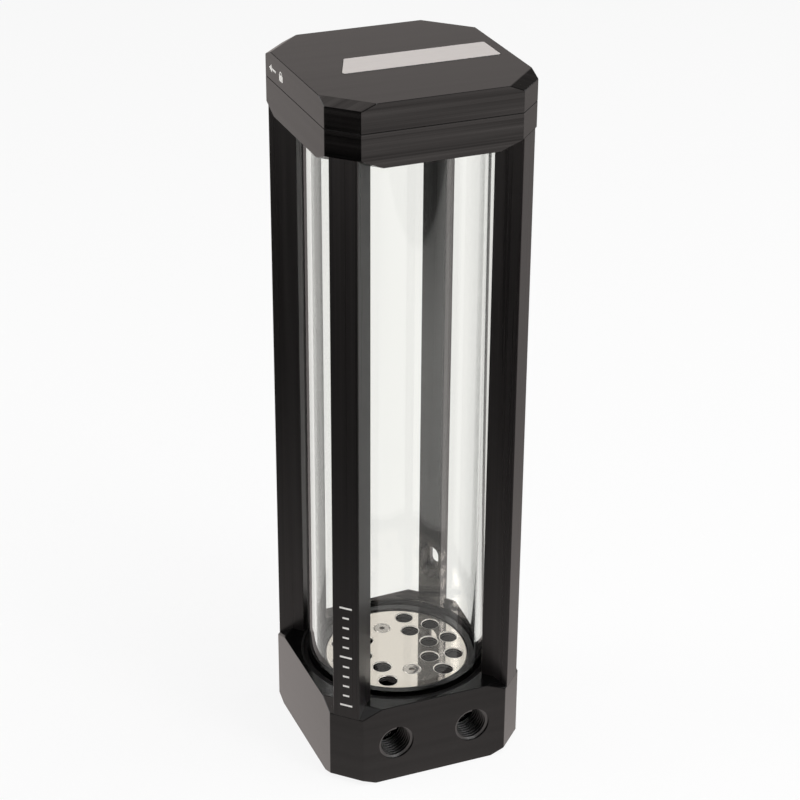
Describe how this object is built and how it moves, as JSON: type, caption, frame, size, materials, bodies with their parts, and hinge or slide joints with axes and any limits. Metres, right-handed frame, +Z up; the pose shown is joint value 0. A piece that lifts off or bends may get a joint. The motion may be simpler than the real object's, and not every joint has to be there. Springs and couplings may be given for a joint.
{
  "type": "water cooling reservoir",
  "caption": "Glass tube reservoir between a chamfered base with two threaded ports and a collar with a turn-to-lock lid, held by four corner struts.",
  "frame": {"origin": "centre of the base's underside", "axes": "+Z up along the glass tube, -Y out of the face with the two ports, +X to the right seen from that face"},
  "size_m": [0.073, 0.073, 0.2556],
  "materials": {
    "anodised_block": "satin black anodised, milled",
    "anodised_strut": "satin black anodised, extruded",
    "glass": "clear polished",
    "steel_plate": "polished stainless",
    "steel_screw": "plain stainless",
    "black_screw": "black oxide",
    "seal": "smooth black rubber",
    "plug": "machined black acetal",
    "badge": "bright brushed"
  },
  "bodies": {
    "frame": {"base_block": "anodised_block", "flow_plate": "steel_plate", "flow_plate_screws": "steel_screw", "glass_tube": "glass", "base_glass_gasket": "seal", "collar_glass_gasket": "seal", "base_o_ring": "seal", "collar_o_ring": "seal", "top_collar": "anodised_block", "strut_front_left": "anodised_strut", "strut_front_right": "anodised_strut", "strut_back_left": "anodised_strut", "mounting_strut": "anodised_strut", "base_screws": "black_screw", "collar_screws": "black_screw"},
    "lid_seal": {"lid_o_ring": "seal"},
    "lid": {"lid_cap": "anodised_block", "lid_plug": "plug", "lid_plug_screws": "steel_screw", "lid_badge": "badge"}
  },
  "joints": [
    {"name": "lid_lift", "type": "slide", "parent": "frame", "child": "lid_seal", "axis": [0, 0, 1], "range_m": [0, 0.0121]},
    {"name": "lid_turn", "type": "hinge", "parent": "lid_seal", "child": "lid", "pos_m": [0, 0, 0.246], "axis": [0, 0, 1], "range_deg": [0, 180]}
  ],
  "couplings": [
    {"joint": "lid_lift", "follows": "lid_turn", "m_per_rad": 0.0038197}
  ]
}
